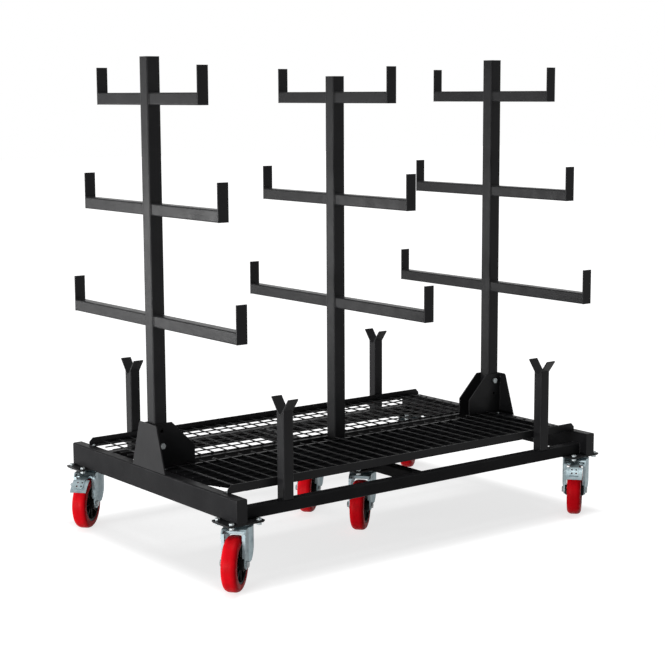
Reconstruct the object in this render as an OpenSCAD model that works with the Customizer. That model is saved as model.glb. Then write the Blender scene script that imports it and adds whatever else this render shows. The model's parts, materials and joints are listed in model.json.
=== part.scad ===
// Mobile pipe rack: a wheeled steel chassis with a mesh deck, three masts that carry
// cradle arms on both sides, four short posts with V saddles, and six swivel castors.
// X runs along the rack, Y across it and Z up. The origin lies on the floor, below the
// centre of the space that the rack takes up with its castors turned as drawn.
// Heights named "over the chassis" are measured from the underside of the chassis tubes.

/* [Chassis] */
// Length over the outer faces of the two end beams
chassis_l = 1600; // [1300:10:1950]
// Length of each end beam, which is the width of the chassis
chassis_w = 1065; // [880:5:1280]
// Height of the end beams
beam_h = 80; // [60:5:100]
// Width of the end beams
beam_w = 40; // [40:5:60]
// Side of the square rails and of the square cross beam
rail_s = 40; // [30:5:50]
// Distance from the ends of the beams to the outer faces of the rails
rail_inset = 32.5; // [10:2.5:50]
// Wall of the chassis tubes
tube_wall = 3; // [2:0.5:4]
// Thickness of the plates that close the ends of the beams
end_cap_t = 3; // [2:0.5:5]

/* [Mesh deck] */
// Distance from the ends of the beams to the outer faces of the deck
deck_inset = 82.5; // [70:2.5:120]
// Distance from the outer faces of the beams to the ends of the deck
deck_setback = 22; // [10:1:30]
// Gap on each side between the brackets of the masts and the deck panels
deck_clearance = 0.7; // [0.5:0.1:15]
// Leg of the deck angles
angle_leg = 28; // [22:1:35]
// Thickness of the deck angles
angle_t = 3; // [2:0.5:4]
// Length of the corners cut off the upright flanges
flange_cut = 14; // [4:1:18]
// Diameter of the mesh wires
wire_d = 5; // [3:0.5:7]
// Spacing of the cross wires, which the wires along the rack keep to as nearly as they can
wire_pitch = 53.4; // [40:0.2:75]
// Thickness of the sheet that closes the front panel from below
sheet_t = 1.5; // [1:0.5:3]
// Gap between the ends of the sheet and the beams
sheet_end_gap = 5; // [5:1:40]
// Diameter of the bolts that hold the deck to the beams
deck_bolt_d = 6; // [4:1:8]

/* [Masts] */
// Side of the square masts
mast_s = 50; // [40:5:60]
// Wall of the masts
mast_wall = 3; // [2:0.5:4]
// Distance from the outer faces of the end beams to the centres of the side masts
mast_inset = 38; // [34:1:60]
// Top of the two side masts over the chassis
side_mast_top = 1451; // [1430:1:1740]
// Top of the middle mast over the chassis
middle_mast_top = 1389; // [1365:1:1740]
// Height of the plastic caps that show above the masts
mast_cap_h = 4; // [2:0.5:8]

/* [Cradle arms] */
// Side of the square arms
arm_s = 40; // [30:5:50]
// Wall of the arms
arm_wall = 2.5; // [2:0.5:4]
// Underside of the lowest arms over the chassis
low_arm_z = 565; // [420:5:640]
// Underside of the middle arms over the chassis
mid_arm_z = 937; // [860:1:1000]
// Underside of the top arms over the chassis
top_arm_z = 1298; // [1200:1:1310]
// Reach of the lowest arms, from the centre of the mast to the outer face of the upstand
low_reach = 519; // [430:1:630]
// Reach of the middle arms
mid_reach = 424; // [350:1:520]
// Reach of the top arms
top_reach = 319; // [260:1:390]
// Height of the upstands, from the underside of their arm
upstand_h = 125; // [100:1:150]
// Thickness of the upstands
upstand_t = 5; // [4:0.5:8]

/* [Mast brackets] */
// Thickness of the bracket plates
bracket_t = 5; // [4:0.5:8]
// Height of the brackets over the end beams
bracket_h = 158; // [130:1:190]
// Width of the outer plate at its foot
bracket_foot_w = 210; // [175:1:250]
// Width of the outer plate at its top
bracket_top_w = 108; // [80:1:130]
// Length of the cheeks at the deck, from the outer face of the beam
cheek_l = 168; // [140:1:200]
// Length of the cheeks at their top edge
cheek_top_l = 78; // [66:1:94]
// Height of the upright end of the cheeks
cheek_end_h = 67; // [55:1:80]
// Diameter of the bolts that pin the side masts
mast_bolt_d = 12; // [8:1:14]
// Height of the lower bolt hole over the end beam
low_bolt_z = 80; // [66:1:96]
// Height of the upper bolt hole over the end beam
high_bolt_z = 131; // [110:1:140]
// Gap between a mast and the cheeks beside it
cheek_gap = 0.3; // [0.1:0.1:0.5]

/* [Posts and saddles] */
// Distance from the centre of the rack to the posts, along the rack
post_x = 575; // [480:5:660]
// Side of the square posts
post_s = 40; // [30:5:40]
// Wall of the posts
post_wall = 2.5; // [2:0.5:4]
// Height over the chassis at which the walls of a post meet its saddle
post_top = 332; // [280:1:400]
// Lean of the saddle wings from the vertical
saddle_lean = 37; // [33:1:45]
// Width over the tips of the saddle wings
saddle_w = 96; // [80:1:115]
// Thickness of the saddle plates
saddle_t = 5; // [4:0.5:6]
// Inside radius of the bend in the saddle plates
saddle_r = 8; // [5:0.5:10]

/* [Castors] */
// Diameter of the wheels
wheel_d = 180; // [170:1:216]
// Width of the treads
wheel_w = 50; // [42:1:56]
// Distance from a kingpin to the axle it leads
trail = 50; // [42:1:60]
// Gap between the top of a wheel and the crown of its fork
crown_gap = 17; // [14:1:40]
// Length of the castor plates along the rack
plate_l = 140; // [120:1:160]
// Width of the castor plates
plate_w = 105; // [90:1:120]
// Thickness of the mounting plates welded to the chassis
mount_plate_t = 4; // [3:0.5:8]
// Thickness of the plates on the castors themselves
castor_plate_t = 3; // [3:0.5:6]
// Distance from the outer faces of the end beams to the kingpins of the corner castors
castor_inset = 40; // [35:1:60]
// Distance from the centre of the rack to the kingpins of the middle castors
middle_castor_y = 157; // [130:1:190]
// Diameter of the castor bolts
castor_bolt_d = 10; // [8:1:10]
// Spacing of the castor bolts along the rack
bolt_pitch_x = 105; // [90:1:110]
// Spacing of the castor bolts across the rack
bolt_pitch_y = 80; // [66:1:84]
// Direction in which the wheels trail behind their kingpins, in degrees from +X
castor_heading = 221; // [180:1:270]
// Thickness of the pressed forks
fork_t = 5; // [3:0.5:5]
// Width of the forks over the crown
fork_crown_w = 97; // [90:1:105]
// Width of the forks over their legs
fork_axle_w = 80; // [76:1:88]
// Diameter of the axle bolts
axle_d = 12; // [10:1:14]
// Diameter of the kingpins
kingpin_d = 14; // [12:1:18]
// Radius of the black wheel centres, where the tread begins
hub_rim_r = 65; // [54:1:72]
// Length of the pedal plates, measured round the tread
pedal_l = 55; // [45:1:62]
// Width of the pedal plates
pedal_w = 59; // [50:1:60]

/* [Hidden] */
$fn = 48;

// Finishes
powder_black = [0.13, 0.13, 0.14];
plastic_black = [0.08, 0.08, 0.09];
zinc = [0.72, 0.75, 0.78];
steel = [0.82, 0.83, 0.85];
tread_red = [0.80, 0.08, 0.10];
hub_black = [0.06, 0.06, 0.07];

// Clearances
running_gap = 0.1;
face_gap = 0.3;
bolt_clearance = 0.5;
edge_gap = 0.5;

// Levels of a castor, above the floor. Its swivel head is deep enough for the fork to pass
// below the ends of the castor bolts.
nut_h = 0.8;
bolt_end = 0.85;
race_h = 0.9 * castor_bolt_d - face_gap;
crown_under = wheel_d + crown_gap;
crown_top = crown_under + fork_t;
plate_under = crown_top + face_gap + race_h;
castor_h = plate_under + castor_plate_t;

// Main levels, above the floor
chassis_z = castor_h + mount_plate_t;
beam_top = chassis_z + beam_h;
rail_top = chassis_z + rail_s;

// Main distances, from the centre of the chassis
beam_x = chassis_l / 2 - beam_w / 2;
beam_inner_x = chassis_l / 2 - beam_w;
rail_y = chassis_w / 2 - rail_inset - rail_s / 2;
mast_x = chassis_l / 2 - mast_inset;
castor_x = chassis_l / 2 - castor_inset;
castor_y = chassis_w / 2 - plate_w / 2;
deck_y = chassis_w / 2 - deck_inset;
deck_half_l = chassis_l / 2 - deck_setback;

// The castors: place and side of the rack
castor_spots = [
    [-castor_x, -castor_y], [-castor_x, castor_y],
    [0, -middle_castor_y], [0, middle_castor_y],
    [castor_x, -castor_y], [castor_x, castor_y]
];
front_left = 0;
rear_left = 1;
front_middle = 2;
rear_middle = 3;
front_right = 4;
rear_right = 5;

// Half of what the turned wheels reach over, so that the origin is below the middle of it
wheel_r = wheel_d / 2;
swing_x = (trail + wheel_r) * abs(cos(castor_heading)) + wheel_w / 2 * abs(sin(castor_heading));
swing_y = (trail + wheel_r) * abs(sin(castor_heading)) + wheel_w / 2 * abs(cos(castor_heading));
shift_x = (swing_x - plate_l / 2) / 2;
shift_y = (castor_y + swing_y - chassis_w / 2) / 2;

// Heights of the arms and how far they reach
arm_levels = [[low_arm_z, low_reach], [mid_arm_z, mid_reach], [top_arm_z, top_reach]];

// Mesh panels: their extent, and the number and spacing of the wires each way
deck_gap = mast_s + 2 * (cheek_gap + bracket_t + deck_clearance);
panel_inner = deck_gap / 2;
panel_outer = deck_y - angle_t - edge_gap;
panel_w = panel_outer - panel_inner;
panel_half_l = beam_inner_x - 3;
shortest_wire_end = 15;
cross_pairs = floor((panel_half_l - shortest_wire_end) / wire_pitch - 0.5) + 1;
long_wires = round(panel_w / wire_pitch);
long_step = panel_w / long_wires;
weld_sink = 0.6;

// The bolts of the deck stand on the inner edge of the end beams
deck_bolt_x = beam_inner_x + 8;
deck_bolt_inset = (angle_leg + angle_t) / 2;

// Everything is drawn about the centre of the chassis, and moved to the origin here
module placed() {
    translate([shift_x, shift_y, 0]) children();
}

// A point on a circle round [0, 0]
function on_circle(r, angle) = [r * cos(angle), r * sin(angle)];

// Points of an arc round a centre, from one angle to another
function arc(centre, r, from, to, steps = 8) =
    [for (i = [0:steps]) centre + on_circle(r, from + (to - from) * i / steps)];

// A rectangle with round corners, about its centre
module rounded_rectangle(width, height, r) {
    square([width - 2 * r, height], center = true);
    square([width, height - 2 * r], center = true);
    for (x = [-1, 1], y = [-1, 1])
        translate([x * (width / 2 - r), y * (height / 2 - r)]) circle(r);
}

// Section of a tube. Its corners are as round outside as two walls, and inside as one.
module tube_section(width, height, wall) {
    difference() {
        rounded_rectangle(width, height, 2 * wall);
        rounded_rectangle(width - 2 * wall, height - 2 * wall, wall);
    }
}

// A square tube along Z that stands on z = 0
module square_tube(side, wall, length) {
    linear_extrude(length) tube_section(side, side, wall);
}

// A rectangular tube along X, centred along its length, with its underside at z = 0
module tube_along_x(width, height, wall, length) {
    translate([-length / 2, 0, height / 2]) rotate([90, 0, 90])
        linear_extrude(length) tube_section(width, height, wall);
}

module end_beam(side) {
    translate([side * beam_x, 0, chassis_z]) rotate([0, 0, 90])
        tube_along_x(beam_w, beam_h, tube_wall, chassis_w - 2 * end_cap_t);
}

module left_end_beam() {
    color(powder_black) end_beam(-1);
}

module right_end_beam() {
    color(powder_black) end_beam(1);
}

module beam_end_caps() {
    color(powder_black)
        for (side_x = [-1, 1], side_y = [-1, 1])
            translate([side_x * beam_x, side_y * (chassis_w - end_cap_t) / 2, chassis_z + beam_h / 2])
                rotate([90, 0, 0]) linear_extrude(end_cap_t, center = true)
                    rounded_rectangle(beam_w, beam_h, 2 * tube_wall);
}

module rail(side) {
    translate([0, side * rail_y, chassis_z])
        tube_along_x(rail_s, rail_s, tube_wall, 2 * beam_inner_x);
}

module front_rail() {
    color(powder_black) rail(-1);
}

module rear_rail() {
    color(powder_black) rail(1);
}

module centre_cross_beam() {
    color(powder_black)
        translate([0, 0, chassis_z]) rotate([0, 0, 90])
            tube_along_x(rail_s, rail_s, tube_wall, 2 * rail_y - rail_s);
}

// The outer angles stand their flange up beside the mesh. Both upper corners are cut off.
module outer_angle(side) {
    translate([0, side * deck_y, beam_top]) difference() {
        union() {
            translate([-deck_half_l, side > 0 ? -angle_leg : 0, 0])
                cube([2 * deck_half_l, angle_leg, angle_t]);
            translate([-deck_half_l, side > 0 ? -angle_t : 0, 0])
                cube([2 * deck_half_l, angle_t, angle_leg]);
        }
        for (end = [-1, 1])
            translate([end * deck_half_l, 0, angle_leg]) rotate([0, 45, 0])
                cube([flange_cut * sqrt(2), 3 * angle_leg, flange_cut * sqrt(2)], center = true);
        deck_bolt_holes(-side);
    }
}

// The inner angles hang their flange down between the beams, beside the gap for the masts.
module inner_angle(side) {
    flange_l = 2 * (beam_inner_x - face_gap);
    translate([0, side * panel_inner, beam_top]) difference() {
        union() {
            translate([-deck_half_l, side > 0 ? 0 : -angle_leg, 0])
                cube([2 * deck_half_l, angle_leg, angle_t]);
            translate([-flange_l / 2, side > 0 ? 0 : -angle_t, angle_t - angle_leg])
                cube([flange_l, angle_t, angle_leg]);
        }
        deck_bolt_holes(side);
    }
}

// Holes near both ends of a deck angle, over the end beams, on the given side of its corner
module deck_bolt_holes(side) {
    for (end = [-1, 1])
        translate([end * deck_bolt_x, side * deck_bolt_inset, -angle_t])
            cylinder(d = deck_bolt_d + bolt_clearance, h = 3 * angle_t);
}

module front_outer_angle() {
    color(powder_black) outer_angle(-1);
}

module rear_outer_angle() {
    color(powder_black) outer_angle(1);
}

module front_inner_angle() {
    color(powder_black) inner_angle(-1);
}

module rear_inner_angle() {
    color(powder_black) inner_angle(1);
}

// The front panel is closed from below by a thin sheet between its angles. The ends of the
// sheet stop just short of the beams, and its outer corners are cut off.
module front_deck_sheet() {
    end_x = beam_inner_x - sheet_end_gap;
    inner_y = -panel_inner - angle_t;
    corner_l = 50;
    corner_w = 140;
    color(powder_black)
        translate([0, 0, beam_top - sheet_t]) linear_extrude(sheet_t) polygon([
            [end_x, inner_y], [-end_x, inner_y],
            [-end_x, corner_w - panel_outer], [corner_l - end_x, -panel_outer],
            [end_x - corner_l, -panel_outer], [end_x, corner_w - panel_outer]
        ]);
}

// A welded mesh panel: wires along the rack, with the cross wires welded on top of them.
module deck_mesh(side) {
    long_z = beam_top + angle_t + wire_d / 2;
    translate([0, side * panel_inner, long_z]) {
        for (i = [0:long_wires - 1])
            translate([-panel_half_l, side * long_step * (i + 0.5), 0]) rotate([0, 90, 0])
                cylinder(d = wire_d, h = 2 * panel_half_l, $fn = 8);
        for (i = [0:cross_pairs - 1], end = [-1, 1])
            translate([end * wire_pitch * (i + 0.5), 0, wire_d - weld_sink])
                rotate([-side * 90, 0, 0]) cylinder(d = wire_d, h = panel_w, $fn = 8);
    }
}

module front_deck_mesh() {
    color(powder_black) deck_mesh(-1);
}

module rear_deck_mesh() {
    color(powder_black) deck_mesh(1);
}

// Domed bolts that hold both angles of each panel to the tops of the beams
module deck_bolts() {
    color(steel)
        for (end = [-1, 1], side = [-1, 1], y = [panel_inner + deck_bolt_inset, deck_y - deck_bolt_inset])
            translate([end * deck_bolt_x, side * y, beam_top + angle_t])
                dome_bolt(deck_bolt_d, angle_t);
}

// A dome head on z = 0 with a short shank below it
module dome_bolt(d, grip) {
    head_r = d;
    head_h = d * 0.55;
    dome_r = (head_r * head_r + head_h * head_h) / (2 * head_h);
    half = asin(head_r / dome_r);
    rotate_extrude() polygon(concat(
        [[0, -grip], [d / 2, -grip], [d / 2, 0], [head_r, 0]],
        [for (i = [1:6]) [0, head_h - dome_r] + dome_r * [sin(half * (1 - i / 6)), cos(half * (1 - i / 6))]]
    ));
}

// A bracket is an outer plate flush with the beam, and two cheeks that grip the mast.
module mast_bracket(side) {
    outer_x = chassis_l / 2;
    cheek_y = mast_s / 2 + cheek_gap;
    translate([side * outer_x, 0, beam_top]) mirror([side > 0 ? 1 : 0, 0, 0]) difference() {
        union() {
            rotate([90, 0, 90]) linear_extrude(bracket_t) polygon(outer_plate_outline());
            for (cheek = [-1, 1])
                translate([0, cheek * (cheek_y + bracket_t / 2) + bracket_t / 2, 0]) rotate([90, 0, 0])
                    linear_extrude(bracket_t) polygon(cheek_outline());
        }
        mast_bolt_holes(mast_inset);
    }
}

// Outline of the outer plate, across the rack and up, with rounded top corners
function outer_plate_outline() =
    let (
        foot = bracket_foot_w / 2,
        top = bracket_top_w / 2,
        r = 10,
        flank = atan2(bracket_h, foot - top),
        centre = [top - r * tan(flank / 2), bracket_h - r]
    )
    concat(
        [[-foot, 0], [foot, 0]],
        arc(centre, r, 90 - flank, 90, 5),
        arc([-centre[0], centre[1]], r, 90, 90 + flank, 5)
    );

// Outline of a cheek, inward from the outer face of the beam and up
function cheek_outline() = [
    [0, 0], [cheek_l, 0], [cheek_l, cheek_end_h], [cheek_top_l, bracket_h], [0, bracket_h]
];

// The two bolt holes through a side mast and its cheeks, in the frame of the bracket
module mast_bolt_holes(x) {
    for (z = [low_bolt_z, high_bolt_z])
        translate([x, 0, z]) rotate([90, 0, 0])
            cylinder(d = mast_bolt_d + bolt_clearance, h = 2 * mast_s, center = true);
}

module left_mast_bracket() {
    color(powder_black) mast_bracket(-1);
}

module right_mast_bracket() {
    color(powder_black) mast_bracket(1);
}

// The left mast is pinned through its lower hole and the right one through its upper hole.
mast_pins = [[-mast_x, low_bolt_z], [mast_x, high_bolt_z]];
cheek_face = mast_s / 2 + cheek_gap + bracket_t;

// The bolts go through both cheeks, with their nuts on the far side.
module mast_bolts() {
    color(steel)
        for (pin = mast_pins)
            translate([pin[0], 0, beam_top + pin[1]]) {
                translate([0, -cheek_face, 0]) rotate([90, 0, 0])
                    hex_bolt(mast_bolt_d, 2 * cheek_face + 1.4 * mast_bolt_d);
                translate([0, cheek_face, 0]) rotate([-90, 0, 0]) hex_nut(mast_bolt_d);
            }
}

// A hexagon head on z = 0, with its shank below
module hex_bolt(d, shank) {
    cylinder(d = 1.8 * d, h = 0.62 * d, $fn = 6);
    translate([0, 0, -shank]) cylinder(d = d, h = shank + 0.1);
}

// A hexagon nut on z = 0, round a shank of the same nominal size
module hex_nut(d) {
    difference() {
        cylinder(d = 1.8 * d, h = nut_h * d, $fn = 6);
        translate([0, 0, -1]) cylinder(d = d + 2 * running_gap, h = d + 2);
    }
}

module side_mast(side) {
    translate([side * mast_x, 0, beam_top]) difference() {
        square_tube(mast_s, mast_wall, side_mast_top - beam_h);
        mast_bolt_holes(0);
    }
}

module left_mast() {
    color(powder_black) side_mast(-1);
}

module right_mast() {
    color(powder_black) side_mast(1);
}

// The middle mast stands on the cross beam and passes up between the deck panels.
module middle_mast() {
    color(powder_black)
        translate([0, 0, rail_top]) square_tube(mast_s, mast_wall, middle_mast_top - rail_s);
}

// Plastic caps, pushed into the tops of the masts
module mast_caps() {
    plug_h = 20;
    plug = mast_s - 2 * mast_wall - 2 * running_gap;
    color(plastic_black)
        for (mast = [[-mast_x, side_mast_top], [0, middle_mast_top], [mast_x, side_mast_top]])
            translate([mast[0], 0, chassis_z + mast[1]]) {
                translate([0, 0, -plug_h]) linear_extrude(plug_h)
                    rounded_rectangle(plug, plug, mast_wall);
                linear_extrude(mast_cap_h) rounded_rectangle(mast_s, mast_s, 2 * mast_wall);
            }
}

// The arms of one mast: three levels, with one arm to each side
module mast_arms(x) {
    for (level = arm_levels, side = [-1, 1]) {
        length = level[1] - upstand_t - mast_s / 2;
        translate([x, side * (mast_s + length) / 2, chassis_z + level[0]]) rotate([0, 0, 90])
            tube_along_x(arm_s, arm_s, arm_wall, length);
    }
}

// The upstands close the ends of the arms and keep pipes from rolling off.
module mast_upstands(x) {
    for (level = arm_levels, side = [-1, 1])
        translate([x - arm_s / 2, side * (level[1] - upstand_t / 2) - upstand_t / 2, chassis_z + level[0]])
            cube([arm_s, upstand_t, upstand_h]);
}

module left_mast_arms() {
    color(powder_black) mast_arms(-mast_x);
}

module middle_mast_arms() {
    color(powder_black) mast_arms(0);
}

module right_mast_arms() {
    color(powder_black) mast_arms(mast_x);
}

module left_mast_upstands() {
    color(powder_black) mast_upstands(-mast_x);
}

module middle_mast_upstands() {
    color(powder_black) mast_upstands(0);
}

module right_mast_upstands() {
    color(powder_black) mast_upstands(mast_x);
}

// Saddle outline, across the rack and up from the sharp point where the outer faces would
// meet. The wings lean out on both sides of a round bend.
saddle_outer_r = saddle_r + saddle_t;
saddle_centre = [0, saddle_outer_r / sin(saddle_lean)];
saddle_wing = saddle_w / 2 / sin(saddle_lean);
function saddle_arc(r) = arc(saddle_centre, r, saddle_lean - 180, -saddle_lean, 10);
function saddle_tip(side, depth) =
    [side * (saddle_wing * sin(saddle_lean) - depth * cos(saddle_lean)),
     saddle_wing * cos(saddle_lean) + depth * sin(saddle_lean)];
function reversed(list) = [for (i = [len(list) - 1:-1:0]) list[i]];
function saddle_outline() = concat(
    [saddle_tip(-1, 0)], saddle_arc(saddle_outer_r),
    [saddle_tip(1, 0), saddle_tip(1, saddle_t)],
    reversed(saddle_arc(saddle_r)), [saddle_tip(-1, saddle_t)]
);

// Height of the sharp point of a saddle over the chassis
saddle_z = post_top - post_s / 2 / tan(saddle_lean);

// Places one piece at each of the four posts
module at_posts() {
    for (side_x = [-1, 1], side_y = [-1, 1])
        translate([side_x * post_x, side_y * rail_y, 0]) children();
}

// An outline across the rack, extruded along the rack over a length
module across(length) {
    translate([-length / 2, 0, 0]) rotate([90, 0, 90]) linear_extrude(length) children();
}

module v_saddles() {
    color(powder_black)
        at_posts() translate([0, 0, chassis_z + saddle_z])
            across(post_s) polygon(saddle_outline());
}

// The posts are cut to the shape of the saddles that are welded into them.
module saddle_posts() {
    color(powder_black)
        at_posts() difference() {
            translate([0, 0, rail_top])
                square_tube(post_s, post_wall, chassis_z + post_top - rail_top);
            translate([0, 0, chassis_z + saddle_z]) across(2 * post_s)
                polygon(concat([saddle_tip(-1, 0)], saddle_arc(saddle_outer_r), [saddle_tip(1, 0)]));
        }
}

plate_corner_r = 8;

// A castor plate with rounded corners and its four bolt holes, upward from z = 0
module bolted_plate(length, width, thickness) {
    linear_extrude(thickness) difference() {
        rounded_rectangle(length, width, plate_corner_r);
        for (x = [-1, 1], y = [-1, 1])
            translate([x * bolt_pitch_x / 2, y * bolt_pitch_y / 2])
                circle(d = castor_bolt_d + bolt_clearance);
    }
}

module castor_mounting_plates() {
    color(powder_black)
        for (spot = castor_spots)
            translate([spot[0], spot[1], castor_h]) bolted_plate(plate_l, plate_w, mount_plate_t);
}

// Each castor has a plate of its own, a little smaller than the one above it.
plate_margin = 2;

module castor_top_plates() {
    color(powder_black)
        for (spot = castor_spots)
            translate([spot[0], spot[1], plate_under])
                bolted_plate(plate_l - 2 * plate_margin, plate_w - 2 * plate_margin, castor_plate_t);
}

// Sizes of the swivel head
race_r = fork_crown_w / 2 - 3;
kingpin_head_r = kingpin_d;
kingpin_head_h = 6;

// The swivel race under each castor plate, with the kingpin and its riveted head
module castor_swivel_races() {
    head_top = crown_under - face_gap;
    color(zinc)
        for (spot = castor_spots)
            translate([spot[0], spot[1], 0]) rotate_extrude() polygon([
                [0, plate_under], [race_r, plate_under], [race_r, plate_under - 2],
                [race_r - 5, plate_under - race_h], [kingpin_d / 2, plate_under - race_h],
                [kingpin_d / 2, head_top], [kingpin_head_r, head_top],
                [kingpin_head_r - 3, head_top - kingpin_head_h], [0, head_top - kingpin_head_h]
            ]);
}

// Places one piece at each castor bolt
module at_castor_bolts() {
    for (spot = castor_spots, x = [-1, 1], y = [-1, 1])
        translate([spot[0] + x * bolt_pitch_x / 2, spot[1] + y * bolt_pitch_y / 2, 0]) children();
}

module castor_bolts() {
    color(steel)
        at_castor_bolts() translate([0, 0, chassis_z])
            hex_bolt(castor_bolt_d, mount_plate_t + castor_plate_t + bolt_end * castor_bolt_d);
}

module castor_nuts() {
    color(steel)
        at_castor_bolts() translate([0, 0, plate_under]) mirror([0, 0, 1]) hex_nut(castor_bolt_d);
}

// Puts a piece of a castor in its place: in its own frame the wheel trails along +X,
// the kingpin stands on the origin and the axle runs along Y.
module at_castor(which) {
    translate([castor_spots[which][0], castor_spots[which][1], 0])
        rotate([0, 0, castor_heading]) children();
}

// Plan of a fork at a depth inside its outer face: a round crown that necks into two
// parallel legs through a hollow curve on each side
neck_r = 10;
neck_x = sqrt(pow(fork_crown_w / 2 + neck_r, 2) - pow(fork_axle_w / 2 + neck_r, 2));
neck_angle = atan2(fork_axle_w / 2 + neck_r, neck_x);
function fork_plan_half(depth) = concat(
    [[3 * trail, fork_axle_w / 2 - depth]],
    arc([neck_x, fork_axle_w / 2 + neck_r], neck_r + depth, -90, neck_angle - 180, 4),
    arc([0, 0], fork_crown_w / 2 - depth, neck_angle, 180, 12)
);
function mirrored(list) = [for (i = [len(list) - 1:-1:0]) [list[i][0], -list[i][1]]];
function fork_plan(depth) = concat(fork_plan_half(depth), mirrored(fork_plan_half(depth)));

// Side view of a fork, along the wheel and up: a short skirt behind the crown, trailing
// edges that slope in to an eye round the axle, and upright leading edges
eye_r = 17;
skirt_h = 4;
leg_front = trail + eye_r;
function fork_side() = concat(
    [
        [-fork_crown_w, crown_top + 1], [-fork_crown_w, crown_under - skirt_h],
        [-0.79 * fork_crown_w / 2, crown_under - skirt_h], [-0.7 * fork_crown_w / 2, wheel_r + 88],
        [-0.5 * fork_crown_w / 2, wheel_r + 66], [0, wheel_r + 30], [trail - 2.1 * eye_r, wheel_r + 4]
    ],
    arc([trail, wheel_r], eye_r, 205, 360, 12),
    [
        [leg_front, lip_top], [leg_front - 7, crown_under], [leg_front - 13, crown_top],
        [leg_front - 13, crown_top + 1]
    ]
);

// A pressed fork: walls and crown of one sheet, trimmed to the side view
module fork_shell() {
    difference() {
        intersection() {
            linear_extrude(crown_top) polygon(fork_plan(0));
            translate([0, fork_crown_w, 0]) rotate([90, 0, 0])
                linear_extrude(2 * fork_crown_w) polygon(fork_side());
        }
        translate([0, 0, -1]) linear_extrude(crown_under + 1) polygon(concat(
            [[4 * trail, fork_axle_w / 2 - fork_t]],
            fork_plan(fork_t),
            [[4 * trail, fork_t - fork_axle_w / 2]]
        ));
    }
}

// The hood joins the legs below the crown, and comes down to just above the wheel.
hood_x = trail - 12;
hood_gap = 3;

module fork_hood() {
    hood_w = fork_axle_w - fork_t;
    translate([hood_x, -hood_w / 2, wheel_d + hood_gap])
        cube([fork_t, hood_w, crown_under + fork_t / 2 - wheel_d - hood_gap]);
}

// The leading edges of the legs are turned in towards the wheel, from the crown down to the
// boss of the wheel centre.
boss_r = 21;
lip_y = wheel_w / 2 + 4;
lip_top = crown_under - 9;
lip_foot = wheel_r + boss_r;

module fork_lips() {
    leg_y = fork_axle_w / 2 - fork_t / 2;
    for (side = [-1, 1])
        translate([leg_front - fork_t, side > 0 ? lip_y : -leg_y, lip_foot])
            cube([fork_t, leg_y - lip_y, lip_top - lip_foot]);
}

// A whole fork, with holes for the kingpin and the axle and, on a braked castor, for the pedal
module fork(which, braked) {
    at_castor(which) difference() {
        union() {
            fork_shell();
            fork_hood();
            fork_lips();
        }
        translate([0, 0, crown_under - 1])
            cylinder(d = kingpin_d + 2 * running_gap, h = fork_t + 2);
        translate([trail, 0, wheel_r]) rotate([90, 0, 0])
            cylinder(d = axle_d + 2 * running_gap, h = 2 * fork_crown_w, center = true);
        if (braked)
            translate(pedal_pivot) rotate([90, 0, 0])
                cylinder(d = pedal_pin_d + 2 * running_gap, h = 2 * fork_crown_w, center = true);
    }
}

module front_left_fork() {
    color(zinc) fork(front_left, false);
}

module rear_left_fork() {
    color(zinc) fork(rear_left, true);
}

module front_middle_fork() {
    color(zinc) fork(front_middle, false);
}

module rear_middle_fork() {
    color(zinc) fork(rear_middle, false);
}

module front_right_fork() {
    color(zinc) fork(front_right, true);
}

module rear_right_fork() {
    color(zinc) fork(rear_right, false);
}

// An axle bolt with its nut, clamped on both legs of a fork
module axle_bolt(which) {
    color(steel)
        at_castor(which) translate([trail, 0, wheel_r]) {
            translate([0, -fork_axle_w / 2, 0]) rotate([90, 0, 0]) hex_bolt(axle_d, fork_axle_w + 4);
            translate([0, fork_axle_w / 2, 0]) rotate([-90, 0, 0])
                cylinder(d = 1.8 * axle_d, h = 0.55 * axle_d, $fn = 6);
        }
}

module front_left_axle_bolt() {
    axle_bolt(front_left);
}

module rear_left_axle_bolt() {
    axle_bolt(rear_left);
}

module front_middle_axle_bolt() {
    axle_bolt(front_middle);
}

module rear_middle_axle_bolt() {
    axle_bolt(rear_middle);
}

module front_right_axle_bolt() {
    axle_bolt(front_right);
}

module rear_right_axle_bolt() {
    axle_bolt(rear_right);
}

// Puts a turned piece on the axle of a castor, with its own Z along the axle
module on_axle(which) {
    at_castor(which) translate([trail, 0, wheel_r]) rotate([90, 0, 0]) children();
}

// Sizes of a wheel centre
hub_half = fork_axle_w / 2 - fork_t - face_gap;
rim_t = 7;
web_t = 8;
rim_half = wheel_w / 2 - 2;
rib_t = 4;

// Half the section of a wheel centre: a boss on the axle, a web and a rim
function hub_section() = [
    [axle_d / 2 + running_gap, -hub_half], [boss_r - 3, -hub_half], [boss_r, 3 - hub_half],
    [boss_r, -web_t / 2], [hub_rim_r - rim_t, -web_t / 2], [hub_rim_r - rim_t, -rim_half],
    [hub_rim_r, -rim_half], [hub_rim_r, rim_half], [hub_rim_r - rim_t, rim_half],
    [hub_rim_r - rim_t, web_t / 2], [boss_r, web_t / 2], [boss_r, hub_half - 3],
    [boss_r - 3, hub_half], [axle_d / 2 + running_gap, hub_half]
];

// A moulded wheel centre with eight ribs on each side of its web
module hub(which) {
    ribs = 8;
    rib_from = boss_r - 1;
    rib_to = hub_rim_r - rim_t + 1;
    color(hub_black)
        on_axle(which) {
            rotate_extrude($fn = 64) polygon(hub_section());
            for (i = [0:ribs - 1])
                rotate([0, 0, 360 / ribs * i]) translate([rib_from, -rib_t / 2, 3 - rim_half])
                    cube([rib_to - rib_from, rib_t, 2 * rim_half - 6]);
        }
}

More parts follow.
